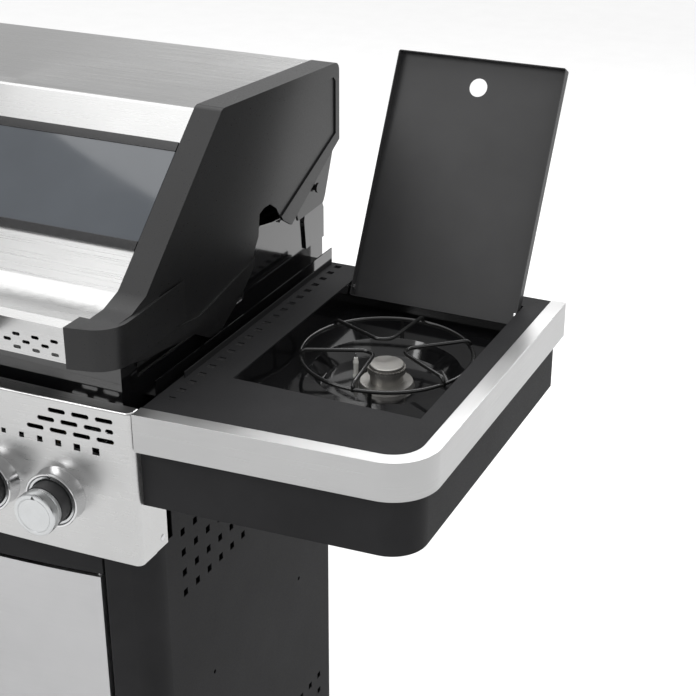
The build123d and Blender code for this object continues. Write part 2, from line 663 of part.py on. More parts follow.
with BuildPart() as left_shelf:
    mirror(right_shelf.part, about=Plane.YZ)
    # plain worktop: no burner recess on this side
    with BuildSketch(Plane.XY.offset(SKIN_Z)):
        with Locations((-inner_x - RECESS_X - RECESS_W / 2, at_depth(RECESS_Y + RECESS_D / 2))):
            Rectangle(RECESS_W + 2, RECESS_D + 2)
    extrude(amount=-SHEET)
    # the worktop is pressed up flush with the trim's rim
    with BuildSketch(Plane.XY.offset(SKIN_Z)):
        add(worktop_plan(0))
    extrude(amount=SHEET)
    with BuildSketch(Plane.XY.offset(SKIN_Z)):
        add(worktop_plan(2 * SHEET))
    extrude(amount=-SHEET, mode=Mode.SUBTRACT)
left_shelf.part.label = "left_shelf"
export_step(left_shelf.part, "parts/left_shelf.step")

# ---------------------------------------------------------------- side burner
recess_mid = (inner_x + RECESS_X + RECESS_W / 2, at_depth(RECESS_Y + RECESS_D / 2))
TRAY_WALL = 1.2
DISH_R = 90.0
DISH_DROP = 20.0
with BuildPart() as burner_tray:
    with BuildSketch(Plane.XY.offset(SKIN_Z - SHEET)):
        with Locations(recess_mid):
            Rectangle(RECESS_W + 22, RECESS_D + 16)
    extrude(amount=-TRAY_WALL)
    with BuildSketch(Plane.XY.offset(SKIN_Z - SHEET)):
        with Locations(recess_mid):
            Rectangle(RECESS_W + 2 * TRAY_WALL, RECESS_D + 2 * TRAY_WALL)
    extrude(amount=-(FLOOR_DROP - 2 * SHEET + TRAY_WALL))
    with BuildSketch(Plane.XY.offset(SKIN_Z)):
        with Locations(recess_mid):
            Rectangle(RECESS_W, RECESS_D)
    extrude(amount=-(FLOOR_DROP - SHEET), mode=Mode.SUBTRACT)
    # round drip dish under the burner
    with BuildSketch(Plane.XY.offset(SHELF_Z - FLOOR_DROP)):
        with Locations((BURNER_X, BURNER_Y)):
            Circle(DISH_R + TRAY_WALL)
    extrude(amount=-(DISH_DROP + TRAY_WALL), taper=28)
    with BuildSketch(Plane.XY.offset(SHELF_Z - FLOOR_DROP)):
        with Locations((BURNER_X, BURNER_Y)):
            Circle(DISH_R)
    extrude(amount=-DISH_DROP, taper=28, mode=Mode.SUBTRACT)
    # holes for the lid screws
    with BuildSketch(side_plane(inner_x + RECESS_X - 5)):
        with Locations(side_view([(LID_PIVOT_Y, LID_PIVOT_Z)])[0]):
            Circle(2.5)
    extrude(amount=RECESS_W + 10, mode=Mode.SUBTRACT)
burner_tray.part.label = "burner_tray"
export_step(burner_tray.part, "parts/burner_tray.step")

dish_z = SHELF_Z - FLOOR_DROP - DISH_DROP
with BuildPart() as side_burner:
    with BuildSketch(Plane.XY.offset(dish_z)):
        with Locations((BURNER_X, BURNER_Y)):
            Circle(34)
    extrude(amount=6, taper=20)
    with BuildSketch(Plane.XY.offset(dish_z + 6)):
        with Locations((BURNER_X, BURNER_Y)):
            Circle(20)
    extrude(amount=12)
    with BuildSketch(Plane.XY.offset(dish_z + 18)):
        with Locations((BURNER_X, BURNER_Y)):
            Circle(23)
    extrude(amount=7)
    with BuildSketch(Plane.XY.offset(dish_z + 21.5)):
        with Locations((BURNER_X, BURNER_Y)):
            with PolarLocations(22.2, 36):
                Circle(0.9)
    extrude(amount=5, mode=Mode.SUBTRACT)
side_burner.part.label = "side_burner"
export_step(side_burner.part, "parts/side_burner.step")

with BuildPart() as burner_cap:
    with BuildSketch(Plane.XY.offset(dish_z + 25)):
        with Locations((BURNER_X, BURNER_Y)):
            Circle(21)
    extrude(amount=4)
    fillet(burner_cap.faces().sort_by(Axis.Z)[-1].edges(), 1.5)
burner_cap.part.label = "burner_cap"
export_step(burner_cap.part, "parts/burner_cap.step")

with BuildPart() as igniter:
    with BuildSketch(Plane.XY.offset(dish_z)):
        with Locations((BURNER_X - 42, BURNER_Y + 3)):
            Circle(3.6)
    extrude(amount=26)
    with BuildSketch(Plane.XY.offset(dish_z + 26)):
        with Locations((BURNER_X - 42, BURNER_Y + 3)):
            Circle(1.0)
    extrude(amount=6)
igniter.part.label = "igniter"
export_step(igniter.part, "parts/igniter.step")

# ---------------------------------------------------------------- pan support
WIRE_R = 2.5
LOOP_R = 2.3
FOOT_R = 2.0
RING_Z = SHELF_Z - 15.0
LOOP_Z = SHELF_Z - 7.0
LOOP_SPREAD = 32.0     # half the angle between the two ends of a loop
APEX_R = 28.0
with BuildPart() as wire_loop:
    reach = BURNER_R * cos(radians(LOOP_SPREAD))
    spread = BURNER_R * sin(radians(LOOP_SPREAD))
    leg = RING_Z - LOOP_Z - 1.5
    with BuildLine() as loop:
        FilletPolyline((reach, spread, leg), (reach, spread, 0), (APEX_R, 9, 0), (APEX_R, -9, 0),
                       (reach, -spread, 0), (reach, -spread, leg), radius=8)
    with BuildSketch(Plane(origin=loop.line @ 0, z_dir=loop.line % 0)):
        Circle(LOOP_R)
    sweep(path=loop.line)

with BuildPart() as pan_support:
    # ring rolled from square wire
    with BuildSketch(Plane.XY.offset(RING_Z - WIRE_R)):
        with Locations((BURNER_X, BURNER_Y)):
            Circle(BURNER_R + WIRE_R)
            Circle(BURNER_R - WIRE_R, mode=Mode.SUBTRACT)
    extrude(amount=2 * WIRE_R)
    for turn in (5, 120, 240):
        with Locations(Location((BURNER_X, BURNER_Y, LOOP_Z), (0, 0, turn))):
            add(wire_loop.part)
    # feet from the ring down to the recess floor
    with BuildSketch(Plane.XY.offset(RING_Z)):
        with Locations((BURNER_X, BURNER_Y)):
            with PolarLocations(BURNER_R, 4, start_angle=-77):
                Circle(FOOT_R)
    extrude(amount=-(RING_Z - SHELF_Z + FLOOR_DROP))
pan_support.part.label = "pan_support"
export_step(pan_support.part, "parts/pan_support.step")

# ---------------------------------------------------------------- side burner lid, standing open
lid_out = radians(LID_LEAN)
lid_normal = (0, -cos(lid_out), sin(lid_out))
pivot = (recess_mid[0], at_depth(LID_PIVOT_Y), SHELF_Z + LID_PIVOT_Z)
LID_W = RECESS_W - 3.0
LID_RIM = 13.0
LID_BACK = 12.0
lid_top = -LID_PIVOT_Z - SHEET


def lid_plane(out):
    """Plane of the open lid, Y up its length from the pivots, Z out of its hollow side."""
    origin = (pivot[0], pivot[1] + lid_normal[1] * out, pivot[2] + lid_normal[2] * out)
    return Plane(origin=origin, x_dir=(1, 0, 0), z_dir=lid_normal)


with BuildPart() as side_burner_lid:
    with BuildSketch(lid_plane(-lid_top)):
        with Locations((0, (LID_LEN - LID_BACK) / 2)):
            RectangleRounded(LID_W, LID_LEN + LID_BACK, 3)
    extrude(amount=LID_RIM)
    with BuildSketch(lid_plane(-lid_top + TRAY_WALL)):
        with Locations((0, (LID_LEN - LID_BACK) / 2)):
            Rectangle(LID_W - 2 * TRAY_WALL, LID_LEN + LID_BACK - 2 * TRAY_WALL)
    extrude(amount=LID_RIM, mode=Mode.SUBTRACT)
    with BuildSketch(lid_plane(-lid_top)):
        with Locations((0, LID_LEN - 35)):
            Circle(12)
    extrude(amount=5, mode=Mode.SUBTRACT)
    with BuildSketch(side_plane(inner_x + RECESS_X - 5)):
        with Locations(side_view([(LID_PIVOT_Y, LID_PIVOT_Z)])[0]):
            Circle(2.55)
    extrude(amount=RECESS_W + 10, mode=Mode.SUBTRACT)
side_burner_lid.part.label = "side_burner_lid"
export_step(side_burner_lid.part, "parts/side_burner_lid.step")

with BuildPart() as lid_screws:
    for side in (-1, 1):
        with BuildSketch(side_plane(recess_mid[0] + side * (RECESS_W / 2 + TRAY_WALL + 2))):
            with Locations(side_view([(LID_PIVOT_Y, LID_PIVOT_Z)])[0]):
                Circle(2.5)
        extrude(amount=-side * 8)
        with BuildSketch(side_plane(recess_mid[0] + side * (RECESS_W / 2 - 3.6))):
            with Locations(side_view([(LID_PIVOT_Y, LID_PIVOT_Z)])[0]):
                Circle(4.2)
        extrude(amount=-side * 2.4)
lid_screws.part.label = "lid_screws"
export_step(lid_screws.part, "parts/lid_screws.step")

# ---------------------------------------------------------------- cabinet
CAB_SHEET = 1.2
HOLE = 9.5             # square cooling holes in the cabinet sides
HOLE_PITCH = 28.5
DOOR_EDGE_X = 250.5    # outer edge of a closed door
POST_X = 256.0         # where the cabinet side's folded front begins
DOOR_TOP = SHELF_Z - 238.0
DOOR_BOTTOM = 152.0
RAIL_TOP = SHELF_Z - PANEL_H - 2.0
DOOR_BOW = 8.0         # angle of the doors' bowed front at its outer edge
door_radius = POST_X / sin(radians(DOOR_BOW))
DOOR_FRONT = 16.2      # depth of the door face at its outer edge
DOOR_THICK = 16.0
PIN_X = 246.0
PIN_Y = at_depth(22.5)
PIN_R = 3.0


def front_depth(x):
    """Depth of the bowed cabinet front at this distance from the middle."""
    rise = (door_radius ** 2 - x ** 2) ** 0.5 - (door_radius ** 2 - POST_X ** 2) ** 0.5
    return DOOR_FRONT - rise


def bowed_strip(start, end, front, back):
    """Plan between two distances from the middle, following the bow at both faces."""
    middle = (start + end) / 2
    with BuildSketch() as plan:
        with BuildLine():
            near = ThreePointArc(*[(x, at_depth(front_depth(x) + front)) for x in (start, middle, end)])
            far = ThreePointArc(*[(x, at_depth(front_depth(x) + back)) for x in (end, middle, start)])
            Line(near @ 1, far @ 0)
            Line(far @ 1, near @ 0)
        make_face()
    return plan.sketch


with BuildPart() as side_panel_right:
    with BuildSketch(Plane.XY.offset(BASE_Z)):
        with BuildLine():
            FilletPolyline((POST_X, at_depth(DOOR_FRONT + 16)), (POST_X, at_depth(DOOR_FRONT)),
                           (CABINET_X, at_depth(DOOR_FRONT + 14)), (CABINET_X, at_depth(SHELF_D)),
                           (CABINET_X - 16, at_depth(SHELF_D)), radius=[2, 34, 2])
            offset(amount=CAB_SHEET, side=Side.LEFT)
        make_face()
    extrude(amount=RAIL_TOP - BASE_Z)
    with BuildSketch(Plane.XY.offset(RAIL_TOP)):
        with Locations((CABINET_X - CAB_SHEET / 2, at_depth((75 + SHELF_D) / 2))):
            Rectangle(CAB_SHEET, SHELF_D - 75)
    extrude(amount=CABINET_TOP - RAIL_TOP)
    with BuildSketch(side_plane(CABINET_X - 5)):
        for column in range(6):
            for row in range(4):
                with Locations(side_view([(97 + HOLE_PITCH * column, -290 + HOLE_PITCH * row)])[0]):
                    Rectangle(HOLE, HOLE)
                with Locations(side_view([(453 - HOLE_PITCH * column, -662 - HOLE_PITCH * row)])[0]):
                    Rectangle(HOLE, HOLE)
        with Locations(side_view([(393, -451)])[0], side_view([(155, -449)])[0]):
            Circle(3)
    extrude(amount=10, mode=Mode.SUBTRACT)
side_panel_right.part.label = "side_panel_right"
export_step(side_panel_right.part, "parts/side_panel_right.step")

with BuildPart() as side_panel_left:
    mirror(side_panel_right.part, about=Plane.YZ)
side_panel_left.part.label = "side_panel_left"
export_step(side_panel_left.part, "parts/side_panel_left.step")

with BuildPart() as back_panel:
    with BuildSketch(Plane.XY.offset(BASE_Z + 22)):
        with Locations((0, at_depth(SHELF_D - CAB_SHEET * 1.5))):
            Rectangle(2 * (CABINET_X - CAB_SHEET) - 6, CAB_SHEET)
    extrude(amount=SHELF_Z - 240 - BASE_Z - 22)
back_panel.part.label = "back_panel"
export_step(back_panel.part, "parts/back_panel.step")

with BuildPart() as base_shelf:
    shelf_mid = at_depth((DOOR_FRONT + 20 + SHELF_D - 2) / 2)
    shelf_deep = SHELF_D - 4 - DOOR_FRONT - 20
    for low, inset, mode in ((BASE_Z, 0.4, Mode.ADD), (BASE_Z + 2, 2.4, Mode.SUBTRACT)):
        with BuildSketch(Plane.XY.offset(low)) as outline:
            with Locations((0, shelf_mid)):
                Rectangle(2 * (CABINET_X - CAB_SHEET - inset), shelf_deep - 2 * inset)
            fillet(outline.vertices().group_by(Axis.Y)[0], 36 - inset)
        extrude(amount=22, mode=mode)
base_shelf.part.label = "base_shelf"
export_step(base_shelf.part, "parts/base_shelf.step")

with BuildPart() as door_frame:
    for low, high in ((DOOR_TOP + 4, RAIL_TOP), (BASE_Z, DOOR_BOTTOM - 4)):
        with BuildSketch(Plane.XY.offset(low)):
            add(bowed_strip(-POST_X + 2.5, POST_X - 2.5, 1, 18))
        extrude(amount=high - low)
    for side in (-1, 1):
        with BuildSketch(Plane.XY.offset(DOOR_BOTTOM - 8)):
            with Locations((side * PIN_X, PIN_Y)):
                Circle(PIN_R)
        extrude(amount=DOOR_TOP - DOOR_BOTTOM + 16, mode=Mode.SUBTRACT)
door_frame.part.label = "door_frame"
export_step(door_frame.part, "parts/door_frame.step")

# ---------------------------------------------------------------- doors
HANDLE_BAR_R = 6.0
HANDLE_STAND = 26.0
HANDLE_LEN = 300.0
DOOR_HANDLE_X = 34.0

with BuildPart() as door_pins:
    for side in (-1, 1):
        for low in (DOOR_TOP - 10, DOOR_BOTTOM - 8):
            with BuildSketch(Plane.XY.offset(low)):
                with Locations((side * PIN_X, PIN_Y)):
                    Circle(PIN_R)
            extrude(amount=18)
door_pins.part.label = "door_pins"
export_step(door_pins.part, "parts/door_pins.step")

for name, side in (("left", -1), ("right", 1)):
    with BuildPart() as door:
        with BuildSketch(Plane.XY.offset(DOOR_BOTTOM)):
            add(bowed_strip(side * 1.5, side * DOOR_EDGE_X, 0, DOOR_THICK))
        extrude(amount=DOOR_TOP - DOOR_BOTTOM)
        with BuildSketch(Plane.XY.offset(DOOR_BOTTOM + 14)):
            add(bowed_strip(side * 4, side * (DOOR_EDGE_X - 14), CAB_SHEET, DOOR_THICK + 5))
        extrude(amount=DOOR_TOP - DOOR_BOTTOM - 28, mode=Mode.SUBTRACT)
        for low in (DOOR_TOP - 10.5, DOOR_BOTTOM - 1):
            with BuildSketch(Plane.XY.offset(low)):
                with Locations((side * PIN_X, PIN_Y)):
                    Circle(PIN_R + 0.05)
            extrude(amount=11.5, mode=Mode.SUBTRACT)
    door.part.label = f"door_{name}"
    export_step(door.part, f"parts/door_{name}.step")

    bar_y = at_depth(front_depth(DOOR_HANDLE_X) - HANDLE_STAND)
    bar_low = DOOR_TOP - 60 - HANDLE_LEN
    with BuildPart() as door_handle:
        with BuildSketch(Plane.XY.offset(bar_low)):
            with Locations((side * DOOR_HANDLE_X, bar_y)):
                Circle(HANDLE_BAR_R)
        extrude(amount=HANDLE_LEN)
        for rise in (25, HANDLE_LEN - 25):
            with BuildSketch(Plane.XZ.offset(-at_depth(front_depth(DOOR_HANDLE_X) - 0.3))):
                with Locations((side * DOOR_HANDLE_X, bar_low + rise)):
                    Circle(4)
            extrude(amount=HANDLE_STAND - 2)
    door_handle.part.label = f"door_handle_{name}"
    export_step(door_handle.part, f"parts/door_handle_{name}.step")

# ---------------------------------------------------------------- grease tray
TRAY_W = 320.0
TRAY_NEAR = 165.0
TRAY_FAR = 505.0
TRAY_Z = SHELF_Z - 205.0
with BuildPart() as grease_tray:
    with BuildSketch(Plane.XY.offset(TRAY_Z)):
        with Locations((0, at_depth((TRAY_NEAR + TRAY_FAR) / 2))):
            RectangleRounded(TRAY_W, TRAY_FAR - TRAY_NEAR, 8)
    extrude(amount=22)
    with BuildSketch(Plane.XY.offset(TRAY_Z + 1.2)):
        with Locations((0, at_depth((TRAY_NEAR + TRAY_FAR) / 2))):
            RectangleRounded(TRAY_W - 2.4, TRAY_FAR - TRAY_NEAR - 2.4, 6.8)
    extrude(amount=22, mode=Mode.SUBTRACT)
    # bent grip at the rear
    with BuildSketch(Plane.XY.offset(TRAY_Z + 20.8)):
        with Locations((0, at_depth(TRAY_FAR + 10))):
            Rectangle(120, 20)
    extrude(amount=1.2)
grease_tray.part.label = "grease_tray"
export_step(grease_tray.part, "parts/grease_tray.step")

with BuildPart() as tray_rails:
    for side in (-1, 1):
        rail_x = TRAY_W / 2 + 1.5
        with BuildSketch(Plane.XZ.offset(-at_depth(160))):
            with BuildLine():
                Polyline((side * (rail_x - 12), TRAY_Z - 1.5), (side * (rail_x + 1.5), TRAY_Z - 1.5),
                         (side * (rail_x + 1.5), SHELF_Z - 172), (side * rail_x, SHELF_Z - 172),
                         (side * rail_x, TRAY_Z), (side * (rail_x - 12), TRAY_Z), close=True)
            make_face()
        extrude(amount=-320)
tray_rails.part.label = "tray_rails"
export_step(tray_rails.part, "parts/tray_rails.step")

# ---------------------------------------------------------------- casters
WHEEL_W = 24.0
AXLE_R = 4.0
KINGPIN_R = 6.0
TRAIL = 22.0
FORK_GAP = 14.5
PLATE_Z = BASE_Z - 4.0
CASTER_X = 268.0
corners = {"front_left": (-CASTER_X, at_depth(80)), "front_right": (CASTER_X, at_depth(80)),
           "rear_left": (-CASTER_X, at_depth(430)), "rear_right": (CASTER_X, at_depth(430))}

with BuildPart() as caster_plates:
    for x, y in corners.values():
        with BuildSketch(Plane.XY.offset(PLATE_Z)):
            with Locations((x, y)):
                RectangleRounded(64, 64, 6)
        extrude(amount=4)
        with BuildSketch(Plane.XY.offset(PLATE_Z)):
            with Locations((x, y)):
                Circle(KINGPIN_R)
        extrude(amount=-12)
caster_plates.part.label = "caster_plates"
export_step(caster_plates.part, "parts/caster_plates.step")

for name, (x, y) in corners.items():
    axle_y = y + TRAIL
    with BuildPart() as fork:
        with BuildSketch(Plane.XY.offset(PLATE_Z - 3)):
            with Locations((x, y)):
                Circle(25)
                Circle(KINGPIN_R + 0.05, mode=Mode.SUBTRACT)
        extrude(amount=-10)
        for side in (-1, 1):
            with BuildSketch(side_plane(x + side * FORK_GAP)):
                with BuildLine():
                    Polyline((y - 20, PLATE_Z - 13), (axle_y - 10, WHEEL_R - 6), (axle_y + 10, WHEEL_R - 6),
                             (y + 24, PLATE_Z - 13), (y + 20, PLATE_Z - 6), (y - 16, PLATE_Z - 6), close=True)
                make_face()
            extrude(amount=side * 3)
        with BuildSketch(side_plane(x - FORK_GAP - 5)):
            with Locations((axle_y, WHEEL_R)):
                Circle(AXLE_R)
        extrude(amount=2 * FORK_GAP + 10)
    fork.part.label = f"caster_fork_{name}"
    export_step(fork.part, f"parts/caster_fork_{name}.step")

    with BuildPart() as wheel:
        with BuildSketch(side_plane(x - WHEEL_W / 2)):
            with Locations((axle_y, WHEEL_R)):
                Circle(WHEEL_R)
                Circle(AXLE_R + 0.05, mode=Mode.SUBTRACT)
        extrude(amount=WHEEL_W)
        fillet(wheel.edges().filter_by(GeomType.CIRCLE).sort_by(SortBy.RADIUS)[-2:], 5)
        for side in (-1, 1):
            with BuildSketch(side_plane(x + side * WHEEL_W / 2)):
                with Locations((axle_y, WHEEL_R)):
                    Circle(26)
                    Circle(11, mode=Mode.SUBTRACT)
            extrude(amount=-side * 5, mode=Mode.SUBTRACT)
    wheel.part.label = f"caster_wheel_{name}"
    export_step(wheel.part, f"parts/caster_wheel_{name}.step")

    if name.startswith("front"):
        with BuildPart() as brake:
            with BuildSketch(side_plane(x - 11)):
                with BuildLine():
                    Polyline((y - 26, PLATE_Z - 16), (y - 52, PLATE_Z - 22), (y - 52, PLATE_Z - 26),
                             (y - 24, PLATE_Z - 21), close=True)
                make_face()
            extrude(amount=22)
        brake.part.label = f"caster_brake_{name}"
        export_step(brake.part, f"parts/caster_brake_{name}.step")
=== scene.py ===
import json
import math
import bmesh
import bpy
from mathutils import Matrix, Vector


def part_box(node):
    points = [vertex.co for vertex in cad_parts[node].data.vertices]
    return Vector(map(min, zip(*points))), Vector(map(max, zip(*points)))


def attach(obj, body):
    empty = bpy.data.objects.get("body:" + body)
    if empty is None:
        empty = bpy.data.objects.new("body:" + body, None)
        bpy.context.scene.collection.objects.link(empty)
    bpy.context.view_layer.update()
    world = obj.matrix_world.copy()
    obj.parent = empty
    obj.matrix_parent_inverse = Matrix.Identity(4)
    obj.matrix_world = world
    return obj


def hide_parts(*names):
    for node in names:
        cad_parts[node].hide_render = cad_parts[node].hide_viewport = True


# Gas barbecue grill: materials, turned and bent pieces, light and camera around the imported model.
# Metres. The origin is on the floor under the middle of the grill, +Y runs from the knobs to the back.

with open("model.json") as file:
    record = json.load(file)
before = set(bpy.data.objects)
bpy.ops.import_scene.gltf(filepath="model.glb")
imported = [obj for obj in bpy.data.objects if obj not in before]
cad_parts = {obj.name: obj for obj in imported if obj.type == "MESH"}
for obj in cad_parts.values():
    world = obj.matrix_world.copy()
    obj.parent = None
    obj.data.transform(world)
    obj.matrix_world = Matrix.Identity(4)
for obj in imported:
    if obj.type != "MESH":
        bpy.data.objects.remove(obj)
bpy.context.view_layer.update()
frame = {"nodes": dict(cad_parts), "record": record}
nodes = frame["nodes"]
joints = {joint["name"]: joint for joint in frame["record"]["behaviour"]["joints"]}
MM = 0.001


# ---------------------------------------------------------------- material helpers
def new_material(name, base, metallic, roughness, **sockets):
    """A principled material whose uniform values are set on the shader's own sockets."""
    material = bpy.data.materials.new(name)
    material.use_nodes = True
    shader = material.node_tree.nodes["Principled BSDF"]
    shader.inputs["Base Color"].default_value = (*base, 1)
    shader.inputs["Metallic"].default_value = metallic
    shader.inputs["Roughness"].default_value = roughness
    for socket, value in sockets.items():
        shader.inputs[socket.replace("_", " ")].default_value = value
    return material


def noise(material, grain, detail=6.0, rough=0.6):
    """Noise in the object's own coordinates, with grain repeats a metre along each axis."""
    tree = material.node_tree
    where = tree.nodes.new("ShaderNodeTexCoord")
    stretch = tree.nodes.new("ShaderNodeMapping")
    stretch.inputs["Scale"].default_value = grain
    texture = tree.nodes.new("ShaderNodeTexNoise")
    texture.inputs["Scale"].default_value = 1.0
    texture.inputs["Detail"].default_value = detail
    texture.inputs["Roughness"].default_value = rough
    tree.links.new(where.outputs["Object"], stretch.inputs["Vector"])
    tree.links.new(stretch.outputs["Vector"], texture.inputs["Vector"])
    return texture.outputs["Fac"]


def vary_roughness(material, source, low, high):
    tree = material.node_tree
    spread = tree.nodes.new("ShaderNodeMapRange")
    spread.inputs["From Min"].default_value = 0.3
    spread.inputs["From Max"].default_value = 0.7
    spread.inputs["To Min"].default_value = low
    spread.inputs["To Max"].default_value = high
    tree.links.new(source, spread.inputs["Value"])
    tree.links.new(spread.outputs["Result"], tree.nodes["Principled BSDF"].inputs["Roughness"])


def vary_colour(material, source, dark, light):
    tree = material.node_tree
    ramp = tree.nodes.new("ShaderNodeValToRGB")
    ramp.color_ramp.elements[0].position = 0.32
    ramp.color_ramp.elements[0].color = (*dark, 1)
    ramp.color_ramp.elements[1].position = 0.68
    ramp.color_ramp.elements[1].color = (*light, 1)
    tree.links.new(source, ramp.inputs["Fac"])
    tree.links.new(ramp.outputs["Color"], tree.nodes["Principled BSDF"].inputs["Base Color"])


def add_bump(material, source, height, strength=1.0):
    tree = material.node_tree
    bump = tree.nodes.new("ShaderNodeBump")
    bump.inputs["Strength"].default_value = strength
    bump.inputs["Distance"].default_value = height
    tree.links.new(source, bump.inputs["Height"])
    tree.links.new(bump.outputs["Normal"], tree.nodes["Principled BSDF"].inputs["Normal"])


def surface(name, base, metallic, low, high, grain, height, blotch=(9, 9, 9), tone=0.08, **sockets):
    """Material with fine grain in its roughness and bump, and slow variation in its colour."""
    material = new_material(name, base, metallic, (low + high) / 2, **sockets)
    fine = noise(material, grain)
    vary_roughness(material, fine, low, high)
    add_bump(material, fine, height)
    dark = [channel * (1 - tone) for channel in base]
    light = [min(1, channel * (1 + tone)) for channel in base]
    vary_colour(material, noise(material, blotch, 3.0), dark, light)
    return material


def spun_metal(name, base, low, high, rings):
    """Metal with fine rings round the piece's own Z axis."""
    material = new_material(name, base, 1.0, (low + high) / 2, Anisotropic=0.65)
    tree = material.node_tree
    where = tree.nodes.new("ShaderNodeTexCoord")
    flat = tree.nodes.new("ShaderNodeVectorMath")
    flat.operation = "MULTIPLY"
    flat.inputs[1].default_value = (rings, rings, 0)
    length = tree.nodes.new("ShaderNodeVectorMath")
    length.operation = "LENGTH"
    ring = tree.nodes.new("ShaderNodeTexNoise")
    ring.noise_dimensions = "1D"
    ring.inputs["Scale"].default_value = 1.0
    tree.links.new(where.outputs["Object"], flat.inputs[0])
    tree.links.new(flat.outputs["Vector"], length.inputs[0])
    tree.links.new(length.outputs["Value"], ring.inputs["W"])
    vary_roughness(material, ring.outputs["Fac"], low, high)
    add_bump(material, ring.outputs["Fac"], 0.00001)
    vary_colour(material, noise(material, (60, 60, 60), 3.0), [c * 0.95 for c in base], base)
    return material


# ---------------------------------------------------------------- the materials
ALONG_X = (5, 700, 700)
ALONG_SHELF = (6, 6, 900)
FINE = (900, 900, 900)

looks = {
    "steel_panel": surface("steel_panel", (0.50, 0.50, 0.498), 1.0, 0.25, 0.38, ALONG_X, 0.000012,
                           tone=0.03, Anisotropic=0.45),
    "steel_hood": surface("steel_hood", (0.50, 0.50, 0.498), 1.0, 0.24, 0.36, ALONG_X, 0.000012,
                          tone=0.03, Anisotropic=0.45),
    "steel_trim": surface("steel_trim", (0.42, 0.42, 0.42), 1.0, 0.26, 0.38, ALONG_SHELF, 0.000012,
                          tone=0.03, Anisotropic=0.4),
    "steel_door": surface("steel_door", (0.47, 0.47, 0.475), 1.0, 0.30, 0.42, (5, 5, 700), 0.000010,
                          tone=0.03, Anisotropic=0.4),
    "powder_coat": surface("powder_coat", (0.021, 0.021, 0.022), 0.0, 0.50, 0.68, FINE, 0.00009, tone=0.12,
                           Specular_IOR_Level=0.08),
    "lid_coat": surface("lid_coat", (0.046, 0.046, 0.047), 0.0, 0.36, 0.52, (1100, 1100, 1100), 0.00008,
                        tone=0.10, Specular_IOR_Level=0.28),
    "cast_coat": surface("cast_coat", (0.013, 0.013, 0.0135), 0.0, 0.26, 0.40, (420, 420, 420), 0.00007,
                         tone=0.12, Specular_IOR_Level=0.34),
    "enamel": surface("enamel", (0.006, 0.006, 0.0065), 0.0, 0.07, 0.15, (140, 140, 140), 0.00003,
                      tone=0.2, Coat_Weight=0.6, Coat_Roughness=0.05),
    "black_steel": surface("black_steel", (0.010, 0.010, 0.010), 0.0, 0.16, 0.28, (500, 500, 500), 0.00003,
                           tone=0.15),
    "window_glass": surface("window_glass", (0.074, 0.083, 0.095), 0.0, 0.03, 0.07, (12, 12, 12), 0.000004,
                            tone=0.06, Coat_Weight=0.4, Coat_Roughness=0.03),
    "window_border": surface("window_border", (0.012, 0.012, 0.013), 0.0, 0.16, 0.24, (300, 300, 300),
                             0.00002, tone=0.1),
    "polished_steel": surface("polished_steel", (0.62, 0.62, 0.625), 1.0, 0.07, 0.15, (60, 60, 60), 0.000004,
                              tone=0.02),
    "knob_metal": spun_metal("knob_metal", (0.56, 0.57, 0.575), 0.20, 0.34, 2600),
    "cast_iron": surface("cast_iron", (0.018, 0.018, 0.018), 0.0, 0.5, 0.72, (600, 600, 600), 0.00018,
                         tone=0.2),
    "burner_steel": surface("burner_steel", (0.42, 0.41, 0.39), 1.0, 0.28, 0.46, (200, 20, 200), 0.00002,
                            tone=0.12),
    "burner_alloy": surface("burner_alloy", (0.42, 0.41, 0.39), 1.0, 0.34, 0.50, (700, 700, 700), 0.00005,
                            tone=0.1),
    "ceramic": surface("ceramic", (0.82, 0.81, 0.77), 0.0, 0.12, 0.22, (300, 300, 300), 0.00001, tone=0.03),
    "gas_pipe": surface("gas_pipe", (0.36, 0.36, 0.36), 1.0, 0.30, 0.45, (400, 400, 400), 0.00003, tone=0.08),
    "brass": surface("brass", (0.62, 0.43, 0.18), 1.0, 0.20, 0.34, (500, 500, 500), 0.00002, tone=0.08),
    "galvanised": surface("galvanised", (0.50, 0.50, 0.51), 1.0, 0.34, 0.52, (180, 180, 180), 0.00003,
                          blotch=(45, 45, 45), tone=0.16),
    "zinc": surface("zinc", (0.58, 0.58, 0.59), 1.0, 0.20, 0.34, (350, 350, 350), 0.00002, tone=0.06),
    "tyre": surface("tyre", (0.018, 0.018, 0.018), 0.0, 0.62, 0.80, (800, 800, 800), 0.00012, tone=0.15),
    "brake_plastic": surface("brake_plastic", (0.020, 0.020, 0.021), 0.0, 0.42, 0.56, (700, 700, 700),
                             0.00006, tone=0.1),
}
print_black = surface("print_black", (0.012, 0.012, 0.012), 0.0, 0.34, 0.46, (500, 500, 500), 0.000005)

slot_of = {part["node"]: part["material_slot"] for part in frame["record"]["subparts"]}
for node, cad in nodes.items():
    cad.data.materials.clear()
    cad.data.materials.append(looks[slot_of[node]])


